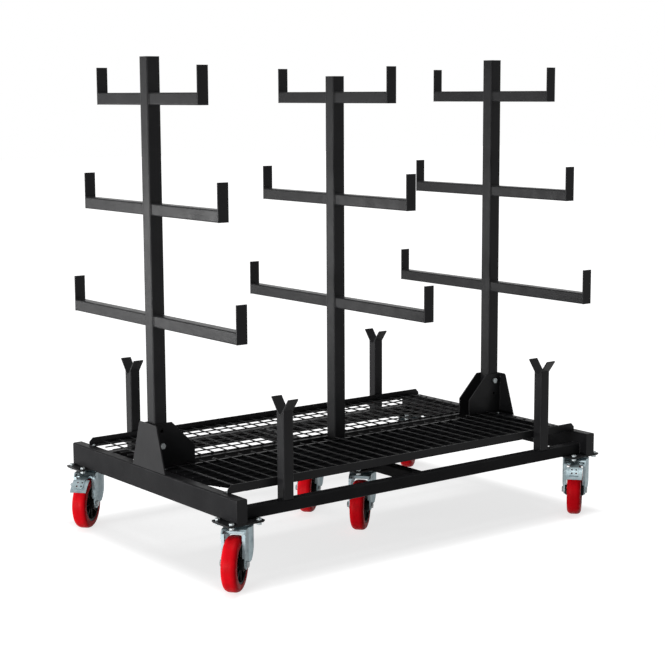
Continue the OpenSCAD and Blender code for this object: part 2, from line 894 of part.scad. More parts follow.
// Section of a tread: flat where it runs, with round shoulders down to its flat sides
shoulder_r = 12;
function tread_section() = concat(
    [[hub_rim_r, -wheel_w / 2]],
    arc([wheel_r - shoulder_r, shoulder_r - wheel_w / 2], shoulder_r, -90, 0, 6),
    arc([wheel_r - shoulder_r, wheel_w / 2 - shoulder_r], shoulder_r, 0, 90, 6),
    [[hub_rim_r, wheel_w / 2]]
);

module tread(which) {
    color(tread_red)
        on_axle(which) rotate_extrude($fn = 96) polygon(tread_section());
}

module front_left_hub() {
    hub(front_left);
}

module rear_left_hub() {
    hub(rear_left);
}

module front_middle_hub() {
    hub(front_middle);
}

module rear_middle_hub() {
    hub(rear_middle);
}

module front_right_hub() {
    hub(front_right);
}

module rear_right_hub() {
    hub(rear_right);
}

module front_left_tread() {
    tread(front_left);
}

module rear_left_tread() {
    tread(rear_left);
}

module front_middle_tread() {
    tread(front_middle);
}

module rear_middle_tread() {
    tread(rear_middle);
}

module front_right_tread() {
    tread(front_right);
}

module rear_right_tread() {
    tread(rear_right);
}

// Brake pedals: a plate bent round the tread at a distance, with a raised arm that runs
// back to a pin in the legs of the fork. Angles are measured round the axle.
pedal_pin_d = 8;
pedal_t = 3;
pedal_gap = 10;
pedal_barrel_gap = 0.5;
barrel_r = pedal_pin_d / 2 + 2.5;
barrel_l = 2 * lip_y - 2;
pedal_pivot = [trail + 6, 0, wheel_d + pedal_barrel_gap + barrel_r];
pedal_pin_l = fork_axle_w + 4;
pedal_r = wheel_r + pedal_gap;
pedal_top = 66;
pedal_foot = pedal_top - pedal_l / pedal_r * 180 / PI;
arm_w = 32;
arm_rise = 2.5;
arm_foot = pedal_foot + 8;
pedal_hole_d = 7;
ear_r = 6;
ear_hole_d = 4;

// A band round the axle between two angles, in the side view of the wheel
function band(r, thickness, from, to) =
    concat(arc([0, 0], r, from, to), arc([0, 0], r + thickness, to, from));

// The arm follows the plate up, and then runs straight to the barrel on the pin.
function pedal_arm() =
    let (
        pivot = [pedal_pivot[0] - trail, pedal_pivot[2] - wheel_r],
        inner = pedal_r + pedal_t / 2,
        outer = pedal_r + pedal_t + arm_rise
    )
    concat(
        arc([0, 0], inner, pedal_top, arm_foot), arc([0, 0], outer, arm_foot, pedal_top),
        [pivot + [0, barrel_r - 1], pivot + [0, pedal_t - barrel_r]]
    );

// An outline in the side view of the wheel, drawn over a width across it
module across_wheel(width) {
    rotate([90, 0, 0]) translate([0, 0, -width / 2]) linear_extrude(width) children();
}

// A drill that points at the axle, at an angle round it and a place across the wheel
module pedal_drill(angle, side, d) {
    translate([0, side, 0]) rotate([0, 90 - angle, 0]) cylinder(d = d, h = 2 * pedal_r);
}

module brake_pedal(which) {
    ear_angle = (pedal_top + pedal_foot) / 2 + 3;
    color(zinc) at_castor(which) {
        translate([trail, 0, wheel_r]) difference() {
            union() {
                across_wheel(pedal_w) polygon(band(pedal_r, pedal_t, pedal_foot, pedal_top));
                across_wheel(arm_w) polygon(pedal_arm());
                rotate([0, 90 - ear_angle, 0]) translate([0, -pedal_w / 2, pedal_r + 0.2])
                    cylinder(r = ear_r, h = pedal_t - 0.6);
            }
            for (side = [-1, 1], angle = [pedal_top - 9, pedal_top - 18])
                pedal_drill(angle, side * arm_w / 4, pedal_hole_d);
            pedal_drill(ear_angle, -pedal_w / 2 - 1, ear_hole_d);
        }
        translate(pedal_pivot) rotate([90, 0, 0]) {
            cylinder(r = barrel_r, h = barrel_l, center = true);
            cylinder(d = pedal_pin_d, h = pedal_pin_l, center = true);
        }
    }
}

module rear_left_brake_pedal() {
    brake_pedal(rear_left);
}

module front_right_brake_pedal() {
    brake_pedal(front_right);
}

placed() left_end_beam();
placed() right_end_beam();
placed() beam_end_caps();
placed() front_rail();
placed() rear_rail();
placed() centre_cross_beam();
placed() front_deck_mesh();
placed() rear_deck_mesh();
placed() front_outer_angle();
placed() rear_outer_angle();
placed() front_inner_angle();
placed() rear_inner_angle();
placed() front_deck_sheet();
placed() deck_bolts();
placed() left_mast_bracket();
placed() right_mast_bracket();
placed() mast_bolts();
placed() left_mast();
placed() middle_mast();
placed() right_mast();
placed() mast_caps();
placed() left_mast_arms();
placed() middle_mast_arms();
placed() right_mast_arms();
placed() left_mast_upstands();
placed() middle_mast_upstands();
placed() right_mast_upstands();
placed() saddle_posts();
placed() v_saddles();
placed() castor_mounting_plates();
placed() castor_top_plates();
placed() castor_swivel_races();
placed() castor_bolts();
placed() castor_nuts();
placed() front_left_fork();
placed() rear_left_fork();
placed() front_middle_fork();
placed() rear_middle_fork();
placed() front_right_fork();
placed() rear_right_fork();
placed() front_left_axle_bolt();
placed() rear_left_axle_bolt();
placed() front_middle_axle_bolt();
placed() rear_middle_axle_bolt();
placed() front_right_axle_bolt();
placed() rear_right_axle_bolt();
placed() front_left_hub();
placed() rear_left_hub();
placed() front_middle_hub();
placed() rear_middle_hub();
placed() front_right_hub();
placed() rear_right_hub();
placed() front_left_tread();
placed() rear_left_tread();
placed() front_middle_tread();
placed() rear_middle_tread();
placed() front_right_tread();
placed() rear_right_tread();
placed() rear_left_brake_pedal();
placed() front_right_brake_pedal();
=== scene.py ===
"""Mobile pipe rack: finishes, rounded edges, welded mesh, weld beads, light and camera."""
import bpy
import bmesh
import json
from math import cos, pi, radians, sin
from mathutils import Matrix, Vector


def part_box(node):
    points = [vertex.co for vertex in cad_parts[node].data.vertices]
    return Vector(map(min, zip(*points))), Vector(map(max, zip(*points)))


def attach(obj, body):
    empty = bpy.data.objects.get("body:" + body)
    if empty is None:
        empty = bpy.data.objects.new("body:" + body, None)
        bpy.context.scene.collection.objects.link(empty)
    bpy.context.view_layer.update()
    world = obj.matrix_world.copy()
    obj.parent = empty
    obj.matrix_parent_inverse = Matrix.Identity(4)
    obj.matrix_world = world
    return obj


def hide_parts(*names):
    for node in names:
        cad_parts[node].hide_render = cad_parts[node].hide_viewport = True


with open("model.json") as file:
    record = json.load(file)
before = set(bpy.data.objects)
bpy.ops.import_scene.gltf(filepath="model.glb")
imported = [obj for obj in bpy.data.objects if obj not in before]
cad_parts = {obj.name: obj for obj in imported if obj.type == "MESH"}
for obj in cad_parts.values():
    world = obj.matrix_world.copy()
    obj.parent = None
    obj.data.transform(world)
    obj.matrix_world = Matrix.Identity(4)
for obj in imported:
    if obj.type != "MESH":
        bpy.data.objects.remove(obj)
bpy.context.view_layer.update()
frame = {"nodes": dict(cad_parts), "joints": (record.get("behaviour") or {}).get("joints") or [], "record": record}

MM = 0.001
SIDES = (-1, 1)
CASTORS = ("front_left", "rear_left", "front_middle", "rear_middle", "front_right", "rear_right")
BRAKED = ("rear_left", "front_right")
MASTS = ("left", "middle", "right")

# Sizes of the CAD pieces that the looks follow
WIRE_R = 2.5 * MM
LONG_WIRES = 8
CROSS_WIRES = 28
CROSS_STEP = 53.4 * MM
WELD_SINK = 0.6 * MM
ARM_SIDE = 40 * MM
ARM_CORNER = 5 * MM
RAIL_CORNER = 6 * MM
BEAM_WIDTH = 40 * MM
BRACKET_WALL = 5 * MM
BRACKET_CHEEK = 30.3 * MM
WHEEL_R = 90 * MM
RIM_R = 65 * MM
TREAD_HALF = 25 * MM

# Sizes that only the looks have
SHOULDER = 17 * MM
SHOULDER_DROP = 13 * MM
MOULD_LINE = 0.2 * MM
BEAD_R = 2.6 * MM
BEAD_RIPPLE = 2.6 * MM
SHEET_REACH = 6.8 * MM
TREAD_STEPS = 128

# What counts as one point and as one plane when triangles are joined
SAME_POINT = 0.00002
SAME_PLANE = radians(0.6)

# Widths of the rounded edges
TUBE_EDGE = 0.5 * MM
PLATE_EDGE = 0.7 * MM
SHEET_EDGE = 0.3 * MM
SADDLE_EDGE = 0.9 * MM
CAP_EDGE = 1.4 * MM
BOLT_EDGE = 0.5 * MM
RACE_EDGE = 0.6 * MM
FORK_EDGE = 1.1 * MM
PEDAL_EDGE = 0.6 * MM
HUB_EDGE = 0.8 * MM


class Tree:
    """A node tree that is built call by call"""

    def __init__(self, tree):
        self.tree = tree

    def link(self, sockets, target):
        """Links one socket, or each of a list of them, to a target"""
        for socket in sockets if isinstance(sockets, list) else [sockets]:
            self.tree.links.new(socket, target)

    def node(self, kind, inputs=(), **settings):
        """A new node, whose inputs are sockets to link, lists of them, or constants"""
        made = self.tree.nodes.new(kind)
        for key, value in settings.items():
            setattr(made, key, value)
        for key, value in dict(inputs).items():
            if isinstance(value, (bpy.types.NodeSocket, list)):
                self.link(value, made.inputs[key])
            else:
                made.inputs[key].default_value = value
        return made


# Materials

class Finish(Tree):
    """One procedural material, built node by node around a Principled shader"""

    def __init__(self, name):
        self.material = bpy.data.materials.new(name)
        self.material.use_nodes = True
        super().__init__(self.material.node_tree)
        self.shader = self.tree.nodes["Principled BSDF"]
        self.place = self.node("ShaderNodeTexCoord").outputs["Object"]

    def set(self, **values):
        """Constants on the shader's own sockets, with _ for the spaces in their names"""
        for key, value in values.items():
            self.shader.inputs[key.replace("_", " ")].default_value = value
        return self

    def noise(self, scale, detail=3.0, roughness=0.5, stretch=(1, 1, 1)):
        """Cloudy noise in the space of the object"""
        place = self.node("ShaderNodeMapping", {"Vector": self.place, "Scale": stretch}).outputs["Vector"]
        return self.node("ShaderNodeTexNoise", {
            "Vector": place, "Scale": scale, "Detail": detail, "Roughness": roughness}).outputs["Fac"]

    def ramp(self, factor, *stops):
        """A colour or a grey that follows a factor through the given (position, value) stops"""
        made = self.node("ShaderNodeValToRGB", {"Fac": factor})
        elements = made.color_ramp.elements
        while len(elements) < len(stops):
            elements.new(0.5)
        for element, (position, value) in zip(elements, stops):
            element.position = position
            element.color = (value, value, value, 1) if isinstance(value, float) else (*value, 1)
        return made.outputs["Color"]

    def blend(self, factor, first, second):
        """A mix of two colours, each a socket or a constant"""
        made = self.node("ShaderNodeMix", data_type="RGBA")
        for key, value in ((0, factor), (6, first), (7, second)):
            if isinstance(value, bpy.types.NodeSocket):
                self.link(value, made.inputs[key])
            else:
                made.inputs[key].default_value = value if key == 0 else (*value, 1)
        return made.outputs[2]

    def drive(self, socket, value):
        """Links a value to one of the shader's own sockets"""
        self.link(value, self.shader.inputs[socket])

    def bump(self, height, strength, distance, under=None):
        """A bump from a height, over another bump if one is given"""
        inputs = {"Height": height, "Strength": strength, "Distance": distance}
        if under is not None:
            inputs["Normal"] = under
        return self.node("ShaderNodeBump", inputs).outputs["Normal"]


def black_powder_coat(name="black_powder_coat", gloss=0.10):
    """Satin black powder coat: fine orange peel, faint cloudiness and a little dust"""
    f = Finish(name).set(IOR=1.5, Specular_IOR_Level=gloss)
    cloud = f.noise(9, 4)
    dust = f.noise(60, 5, 0.65)
    base = f.blend(f.ramp(cloud, (0.35, 0.0), (0.7, 1.0)), (0.012, 0.012, 0.013), (0.018, 0.018, 0.019))
    base = f.blend(f.ramp(dust, (0.62, 0.0), (0.85, 0.35)), base, (0.055, 0.053, 0.051))
    f.drive("Base Color", base)
    f.drive("Roughness", f.ramp(f.noise(23, 4), (0.3, 0.30), (0.7, 0.40)))
    peel = f.bump(f.noise(620, 2, 0.4), 0.22, 0.0004)
    f.drive("Normal", f.bump(f.noise(85, 2), 0.06, 0.002, peel))
    return f.material


def weld_coat():
    """The same black coat over weld beads, which hold a little more gloss"""
    f = Finish("black_weld_coat").set(Roughness=0.38, IOR=1.5, Specular_IOR_Level=0.16)
    cloud = f.ramp(f.noise(140, 3), (0.35, 0.0), (0.7, 1.0))
    f.drive("Base Color", f.blend(cloud, (0.011, 0.011, 0.012), (0.020, 0.020, 0.021)))
    f.drive("Normal", f.bump(f.noise(500, 3), 0.35, 0.0006))
    return f.material


def zinc_plate():
    """Bright zinc over pressed steel: cool grey with faint passivated tints and fine drawing marks"""
    f = Finish("zinc_plate").set(Metallic=1.0, IOR=1.5)
    tint = f.noise(34, 4, 0.6)
    base = f.ramp(tint, (0.30, (0.17, 0.22, 0.24)), (0.50, (0.27, 0.33, 0.35)), (0.72, (0.23, 0.28, 0.29)))
    grime = f.ramp(f.noise(120, 5, 0.7), (0.60, 0.0), (0.85, 0.5))
    f.drive("Base Color", f.blend(grime, base, (0.10, 0.13, 0.14)))
    f.drive("Roughness", f.ramp(f.noise(70, 4, 0.6), (0.3, 0.40), (0.7, 0.56)))
    marks = f.bump(f.noise(900, 2, 0.5, (1, 1, 0.08)), 0.12, 0.0003)
    f.drive("Normal", f.bump(f.noise(160, 3), 0.10, 0.0008, marks))
    return f.material


def bright_steel():
    """Plated bolts and nuts"""
    f = Finish("bright_steel").set(Metallic=1.0, IOR=1.5)
    f.drive("Base Color", f.ramp(f.noise(180, 4), (0.3, (0.25, 0.28, 0.29)), (0.7, (0.38, 0.40, 0.40))))
    f.drive("Roughness", f.ramp(f.noise(300, 3), (0.3, 0.42), (0.7, 0.56)))
    f.drive("Normal", f.bump(f.noise(1200, 2), 0.08, 0.0002))
    return f.material


def red_tread():
    """Cast polyurethane: satin red with faint mould flow and light floor scuffs"""
    f = Finish("red_tread").set(IOR=1.4, Specular_IOR_Level=0.07)
    flow = f.noise(26, 3)
    base = f.blend(f.ramp(flow, (0.35, 0.0), (0.7, 1.0)),
                   (0.62, 0.003, 0.008), (0.74, 0.005, 0.012))
    scuff = f.ramp(f.noise(150, 6, 0.75), (0.66, 0.0), (0.86, 0.30))
    f.drive("Base Color", f.blend(scuff, base, (0.40, 0.03, 0.03)))
    f.drive("Roughness", f.ramp(f.noise(48, 4), (0.3, 0.40), (0.7, 0.52)))
    f.drive("Normal", f.bump(f.noise(420, 3), 0.10, 0.0004))
    return f.material


def moulded_black(name, low, high, grain):
    """Moulded black plastic with a fine grain"""
    f = Finish(name).set(IOR=1.46, Specular_IOR_Level=0.12)
    cloud = f.ramp(f.noise(40, 3), (0.35, low), (0.7, high))
    f.drive("Base Color", cloud)
    f.drive("Roughness", f.ramp(f.noise(90, 3), (0.3, 0.44), (0.7, 0.58)))
    f.drive("Normal", f.bump(f.noise(grain, 2), 0.20, 0.0003))
    return f.material


FINISHES = {
    "black_powder_coat": black_powder_coat(),
    "black_plastic": moulded_black("black_plastic", 0.014, 0.022, 1300),
    "zinc_plate": zinc_plate(),
    "bright_steel": bright_steel(),
    "red_tread": red_tread(),
    "black_hub": moulded_black("black_hub", 0.008, 0.014, 900),
}
WELD_COAT = weld_coat()
# Painted shade: a copy of the black coat with no gloss at all, so that the front sheet and the front panel's lower
# wires read darker
PAINTED_SHADE_SHEET_COAT = black_powder_coat("black_sheet_coat", 0.0)
# Painted shade: a less glossy copy of the black coat, so that the beams and rails read darker than the masts
PAINTED_SHADE_CHASSIS_COAT = black_powder_coat("black_chassis_coat", 0.03)
SLOT_OF = {s["node"]: s["material_slot"] for s in frame["record"]["subparts"]}
BODY_OF = {n: body for body, names in frame["record"]["behaviour"]["bodies"].items() for n in names}


# Shared work on meshes

def show(name, mesh, body, slot, replaced=(), finish=None):
    """A new piece on a body, in a slot of the record, with the slot's finish or the one given"""
    piece = bpy.data.objects.new(name, mesh)
    bpy.context.scene.collection.objects.link(piece)
    if not mesh.materials:
        mesh.materials.append(finish or FINISHES[slot])
    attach(piece, body)
    if replaced:
        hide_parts(*replaced)
    return piece


def shade(shape, angle=32):
    """Smooth shading with sharp edges where faces meet at more than an angle"""
    for face in shape.faces:
        face.smooth = True
    for edge in shape.edges:
        edge.smooth = len(edge.link_faces) == 2 and edge.calc_face_angle(0) < radians(angle)


def flat_faces_first(name, mesh):
    """The mesh with normals weighted by area, so that only the rounded edges shade as round"""
    seed = bpy.data.objects.new(name + "_seed", mesh)
    bpy.context.scene.collection.objects.link(seed)
    modifier = seed.modifiers.new("normals", "WEIGHTED_NORMAL")
    modifier.keep_sharp = True
    graph = bpy.context.evaluated_depsgraph_get()
    done = bpy.data.meshes.new_from_object(seed.evaluated_get(graph), depsgraph=graph)
    bpy.data.objects.remove(seed)
    done.name = name
    return done


def merged_copy(node):
    """The shape of a CAD node with its loose triangles joined into whole flat faces"""
    shape = bmesh.new()
    shape.from_mesh(frame["nodes"][node].data)
    bmesh.ops.remove_doubles(shape, verts=shape.verts, dist=SAME_POINT)
    bmesh.ops.dissolve_limit(shape, angle_limit=SAME_PLANE, verts=shape.verts, edges=shape.edges)
    return shape


def softened(node, width, rings=2, above=30, finish=None, reach=0.0):
    """A CAD node with its sharp edges rounded, as rolled, pressed or moulded edges are.

    A reach moves both of its ends outwards along the rack.
    """
    shape = merged_copy(node)
    low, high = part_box(node)
    for vert in shape.verts:
        for side, end in zip(SIDES, (low.x, high.x)):
            if abs(vert.co.x - end) < MM:
                vert.co.x += side * reach
    sharp = [e for e in shape.edges if len(e.link_faces) == 2 and e.calc_face_angle(0) > radians(above)]
    bmesh.ops.bevel(shape, geom=sharp, offset=width, segments=rings, profile=0.5, affect="EDGES",
                    clamp_overlap=True)
    shade(shape)
    mesh = bpy.data.meshes.new(node)
    shape.to_mesh(mesh)
    shape.free()
    mesh = flat_faces_first(node, mesh)
    return show(node + "_finished", mesh, BODY_OF[node], SLOT_OF[node], (node,), finish)


def lathe(name, profile, place, steps):
    """A turned shape: a closed profile of (radius, height) points round the Z axis of a placement"""
    shape = bmesh.new()
    rings = []
    for step in range(steps):
        turn = 2 * pi * step / steps
        rings.append([shape.verts.new((r * cos(turn), r * sin(turn), z)) for r, z in profile])
    count = len(profile)
    for step in range(steps):
        here, there = rings[step], rings[(step + 1) % steps]
        for i in range(count):
            j = (i + 1) % count
            shape.faces.new((here[i], there[i], there[j], here[j]))
    bmesh.ops.recalc_face_normals(shape, faces=shape.faces)
    shape.transform(place)
    shade(shape)
    mesh = bpy.data.meshes.new(name)
    shape.to_mesh(mesh)
    shape.free()
    return mesh


# Geometry node trees

class Growth(Tree):
    """A geometry node tree with named inputs, used through a modifier and made a mesh"""

    def __init__(self, name):
        super().__init__(bpy.data.node_groups.new(name, "GeometryNodeTree"))
        self.tree.interface.new_socket("Geometry", in_out="INPUT", socket_type="NodeSocketGeometry")
        self.tree.interface.new_socket("Geometry", in_out="OUTPUT", socket_type="NodeSocketGeometry")
        self.start = self.tree.nodes.new("NodeGroupInput")
        self.end = self.tree.nodes.new("NodeGroupOutput")

    def size(self, name, value, kind="NodeSocketFloat"):
        """A named input of the tree, with the value that it has if none is given"""
        socket = self.tree.interface.new_socket(name, in_out="INPUT", socket_type=kind)
        socket.default_value = value
        return self.start.outputs[name]

    def sums(self, operation, first, second, third=None):
        """A sum of two or three numbers"""
        inputs = {0: first, 1: second}
        if third is not None:
            inputs[2] = third
        return self.node("ShaderNodeMath", inputs, operation=operation).outputs["Value"]

    def vector(self, x=0.0, y=0.0, z=0.0):
        """A vector of sockets and constants"""
        return self.node("ShaderNodeCombineXYZ", {"X": x, "Y": y, "Z": z}).outputs["Vector"]

    def real(self, geometry, material):
        """Instances become real and take their material"""
        real = self.node("GeometryNodeRealizeInstances", {"Geometry": geometry}).outputs["Geometry"]
        smooth = self.node("GeometryNodeSetShadeSmooth", {"Geometry": real}).outputs["Geometry"]
        return self.node("GeometryNodeSetMaterial", {
            "Geometry": smooth, "Material": material}).outputs["Geometry"]

    def close(self, material, *geometry, under=None):
        """Ends the tree, with a second material for the geometry that lies under the rest"""
        done = [self.real(each, material) for each in geometry]
        if under:
            done.append(self.real(*under))
        joined = self.node("GeometryNodeJoinGeometry", {"Geometry": done}).outputs["Geometry"]
        self.link(joined, self.end.inputs["Geometry"])

    def grow(self, name, sizes, paths=None):
        """The mesh that the tree makes with the given sizes, from a mesh of paths if one is given"""
        seed = bpy.data.objects.new(name + "_seed", paths or bpy.data.meshes.new(name + "_seed"))
        bpy.context.scene.collection.objects.link(seed)
        modifier = seed.modifiers.new("growth", "NODES")
        modifier.node_group = self.tree
        for item in self.tree.interface.items_tree:
            if item.in_out == "INPUT" and item.name in sizes:
                modifier[item.identifier] = sizes[item.name]
        seed.update_tag()
        graph = bpy.context.evaluated_depsgraph_get()
        mesh = bpy.data.meshes.new_from_object(seed.evaluated_get(graph), depsgraph=graph)
        bpy.data.objects.remove(seed)
        mesh.name = name
        return mesh


def welded_mesh_tree():
    """Round wires along the rack, cross wires welded on top, and a small nugget at each crossing"""
    g = Growth("welded_mesh")
    half_l = g.size("half length", 0.757)
    width = g.size("width", 0.4155)
    radius = g.size("wire radius", WIRE_R)
    long_count = g.size("long wires", LONG_WIRES, "NodeSocketInt")
    long_step = g.size("long step", 0.052)
    cross_count = g.size("cross wires", CROSS_WIRES, "NodeSocketInt")
    cross_step = g.size("cross step", CROSS_STEP)
    sink = g.size("weld sink", WELD_SINK)
    finish = g.size("finish", None, "NodeSocketMaterial")
    # The lower wires can take a finish of their own, which on the front panel is the glossless coat of painted
    # shade
    lower = g.size("lower finish", None, "NodeSocketMaterial")
    section = g.node("GeometryNodeCurvePrimitiveCircle", {
        "Resolution": 12, "Radius": radius}).outputs["Curve"]

    def wire(start, end):
        line = g.node("GeometryNodeCurvePrimitiveLine", {"Start": start, "End": end}).outputs["Curve"]
        return g.node("GeometryNodeCurveToMesh", {
            "Curve": line, "Profile Curve": section, "Fill Caps": True}).outputs["Mesh"]

    def points(count, start, step):
        return g.node("GeometryNodeMeshLine", {
            "Count": count, "Start Location": start, "Offset": step}).outputs["Mesh"]

    def on_points(places, instance, **turn):
        return g.node("GeometryNodeInstanceOnPoints", {
            "Points": places, "Instance": instance, **turn}).outputs["Instances"]

    minus_l = g.sums("MULTIPLY", half_l, -1.0)
    cross_span = g.sums("MULTIPLY", g.sums("SUBTRACT", cross_count, 1.0), cross_step)
    first_x = g.sums("MULTIPLY", cross_span, -0.5)
    first_y = g.sums("MULTIPLY", long_step, 0.5)
    lift = g.sums("SUBTRACT", g.sums("MULTIPLY", radius, 2.0), sink)
    rows = points(long_count, g.vector(y=first_y), g.vector(y=long_step))
    low_columns = points(cross_count, g.vector(x=first_x), g.vector(x=cross_step))
    high_columns = points(cross_count, g.vector(x=first_x, z=lift), g.vector(x=cross_step))
    along = on_points(rows, wire(g.vector(x=minus_l), g.vector(x=half_l)))
    tilt = g.node("FunctionNodeRandomValue", {
        "Min": (0, -0.0006, -0.0012), "Max": (0, 0.0006, 0.0012), "Seed": 7},
        data_type="FLOAT_VECTOR").outputs["Value"]
    across = on_points(high_columns, wire(g.vector(), g.vector(y=width)), Rotation=tilt)
    nugget = g.node("GeometryNodeMeshIcoSphere", {
        "Radius": g.sums("MULTIPLY", radius, 1.12), "Subdivisions": 2}).outputs["Mesh"]
    between = g.vector(z=g.sums("MULTIPLY", lift, 0.5))
    nugget = g.node("GeometryNodeTransform", {
        "Geometry": nugget, "Translation": between, "Scale": (1.15, 1.15, 0.75)}).outputs["Geometry"]
    nuggets = on_points(low_columns, on_points(rows, nugget))
    g.close(finish, across, nuggets, under=(along, lower))
    return g


def weld_bead_tree():
    """Rippled beads along a set of paths"""
    g = Growth("weld_beads")
    radius = g.size("bead radius", BEAD_R)
    ripple = g.size("ripple", BEAD_RIPPLE)
    finish = g.size("finish", None, "NodeSocketMaterial")
    path = g.node("GeometryNodeMeshToCurve", {"Mesh": g.start.outputs["Geometry"]}).outputs["Curve"]
    step = g.sums("DIVIDE", ripple, 2.0)
    path = g.node("GeometryNodeResampleCurve", {
        "Curve": path, "Length": step}, mode="LENGTH").outputs["Curve"]
    index = g.node("GeometryNodeInputIndex").outputs["Index"]
    beat = g.sums("FLOORED_MODULO", index, 2.0)
    drift = g.node("FunctionNodeRandomValue", {2: 0.84, 3: 1.0, "Seed": 11}, data_type="FLOAT").outputs[1]
    swell = g.sums("MULTIPLY", g.sums("MULTIPLY_ADD", beat, 0.16, 0.84), drift)
    section = g.node("GeometryNodeCurvePrimitiveCircle", {"Resolution": 8, "Radius": 1.0}).outputs["Curve"]
    size = g.sums("MULTIPLY", swell, radius)
    path = g.node("GeometryNodeSetCurveRadius", {"Curve": path, "Radius": size}).outputs["Curve"]
    bead = g.node("GeometryNodeCurveToMesh", {
        "Curve": path, "Profile Curve": section, "Scale": size, "Fill Caps": True}).outputs["Mesh"]
    g.close(finish, bead)
    return g


# The steel frame

def middle():
    """Centre of the chassis in the frame of the part, below which the castors stand"""
    low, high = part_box("middle_mast")
    return (low + high) / 2


def deck_meshes():
    """Both mesh panels with round wires, in the places of the CAD wires"""
    tree = welded_mesh_tree()
    for side, node in ((-1, "front_deck_mesh"), (1, "rear_deck_mesh")):
        low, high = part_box(node)
        width = high.y - low.y
        coat = FINISHES["black_powder_coat"]
        # The front panel's lower wires take the glossless copy of the coat, as painted shade
        mesh = tree.grow(node + "_wires", {
            "half length": (high.x - low.x) / 2, "width": width, "wire radius": WIRE_R,
            "long wires": LONG_WIRES, "long step": width / LONG_WIRES,
            "cross wires": CROSS_WIRES, "cross step": CROSS_STEP, "weld sink": WELD_SINK,
            "finish": coat, "lower finish": PAINTED_SHADE_SHEET_COAT if side < 0 else coat})
        inner = high.y if side < 0 else low.y
        place = Matrix.Translation(((low.x + high.x) / 2, inner, low.z + WIRE_R))
        mesh.transform(place @ Matrix.Diagonal((1, side, 1, 1)))
        if side < 0:
            mesh.flip_normals()
        show(node + "_wires", mesh, "chassis", "black_powder_coat", (node,))


def path_mesh(name, lines):
    """A mesh of bare edges, one chain for each run of weld"""
    points, edges = [], []
    for line in lines:
        edges += [(len(points) + i, len(points) + i + 1) for i in range(len(line) - 1)]
        points += line
    mesh = bpy.data.meshes.new(name)
    mesh.from_pydata([tuple(p) for p in points], edges, [])
    return mesh


def round_the_tube(low, high, axis, level, radius):
    """A run of weld round the end of a tube with round corners, at a level on the tube's axis"""
    a, b = [i for i in range(3) if i != axis]
    run = []
    for u, v, start in ((high[a] - radius, low[b] + radius, -90), (high[a] - radius, high[b] - radius, 0),
                        (low[a] + radius, high[b] - radius, 90), (low[a] + radius, low[b] + radius, 180)):
        for step in range(4):
            turn = radians(start + 30 * step)
            point = [0.0, 0.0, 0.0]
            point[a], point[b], point[axis] = u + radius * cos(turn), v + radius * sin(turn), level
            run.append(tuple(point))
    return run + run[:1]


def solids_of(node):
    """Boxes of the separate solids of a node, as (lowest corner, highest corner)"""
    shape = merged_copy(node)
    left = set(shape.verts)
    boxes = []
    while left:
        group, queue = [], [left.pop()]
        while queue:
            vert = queue.pop()
            group.append(vert.co.copy())
            for edge in vert.link_edges:
                other = edge.other_vert(vert)
                if other in left:
                    left.remove(other)
                    queue.append(other)
        boxes.append((Vector(min(p[i] for p in group) for i in range(3)),
                      Vector(max(p[i] for p in group) for i in range(3))))
    shape.free()
    return boxes


def arm_welds(centre):
    """Round each arm where it meets its mast, and behind each upstand on its arm"""
    lines = []
    for mast in MASTS:
        for low, high in solids_of(mast + "_mast_arms"):
            inner = low.y if low.y > centre.y else high.y
            lines.append(round_the_tube(low, high, 1, inner, ARM_CORNER))
        for low, high in solids_of(mast + "_mast_upstands"):
            inner = low.y if low.y > centre.y else high.y
            arm_top = low.z + ARM_SIDE
            inset = 2 * MM
            lines.append(((low.x + inset, inner, arm_top), (high.x - inset, inner, arm_top)))
    return lines


def chassis_welds():
    """Round the ends of the rails, and at the feet of the posts, the cross beam and the middle mast"""
    lines = []
    for low, high in solids_of("saddle_posts"):
        for x in (low.x, high.x):
            lines.append(((x, low.y + ARM_CORNER, low.z), (x, high.y - ARM_CORNER, low.z)))
    for rail in ("front_rail", "rear_rail"):
        low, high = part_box(rail)
        for x in (low.x, high.x):
            lines.append(round_the_tube(low, high, 0, x, RAIL_CORNER)[2:14])
    low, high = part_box("centre_cross_beam")
    inset = 2 * MM
    for x in (low.x, high.x):
        for y in (low.y, high.y):
            lines.append(((x, y, low.z + inset), (x, y, high.z - inset)))
    low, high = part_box("middle_mast")
    for y in (low.y, high.y):
        lines.append(((low.x + RAIL_CORNER, y, low.z), (high.x - RAIL_CORNER, y, low.z)))
    return lines


def bracket_welds(centre):
    """Below the outer wall and the cheeks of each bracket, and up the folds between them"""
    lines = []
    for side, name in zip(SIDES, ("left", "right")):
        low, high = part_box(name + "_mast_bracket")
        outer = low.x if side < 0 else high.x
        face = outer - side * BRACKET_WALL
        beam_edge = outer - side * BEAM_WIDTH
        inset = 3 * MM
        lines.append(((face, low.y + inset, low.z), (face, high.y - inset, low.z)))
        for across in SIDES:
            cheek = centre.y + across * BRACKET_CHEEK
            lines.append(((face, cheek, low.z), (beam_edge, cheek, low.z)))
            lines.append(((face, cheek, low.z), (face, cheek, high.z - 2 * inset)))
    return lines


def weld_beads():
    """Fillet welds along the seams of the frame, under the black coat"""
    centre = middle()
    lines = arm_welds(centre) + chassis_welds() + bracket_welds(centre)
    sizes = {"bead radius": BEAD_R, "ripple": BEAD_RIPPLE, "finish": WELD_COAT}
    mesh = weld_bead_tree().grow("weld_beads", sizes, path_mesh("weld_paths", lines))
    show("weld_beads", mesh, "chassis", "black_powder_coat", finish=WELD_COAT)


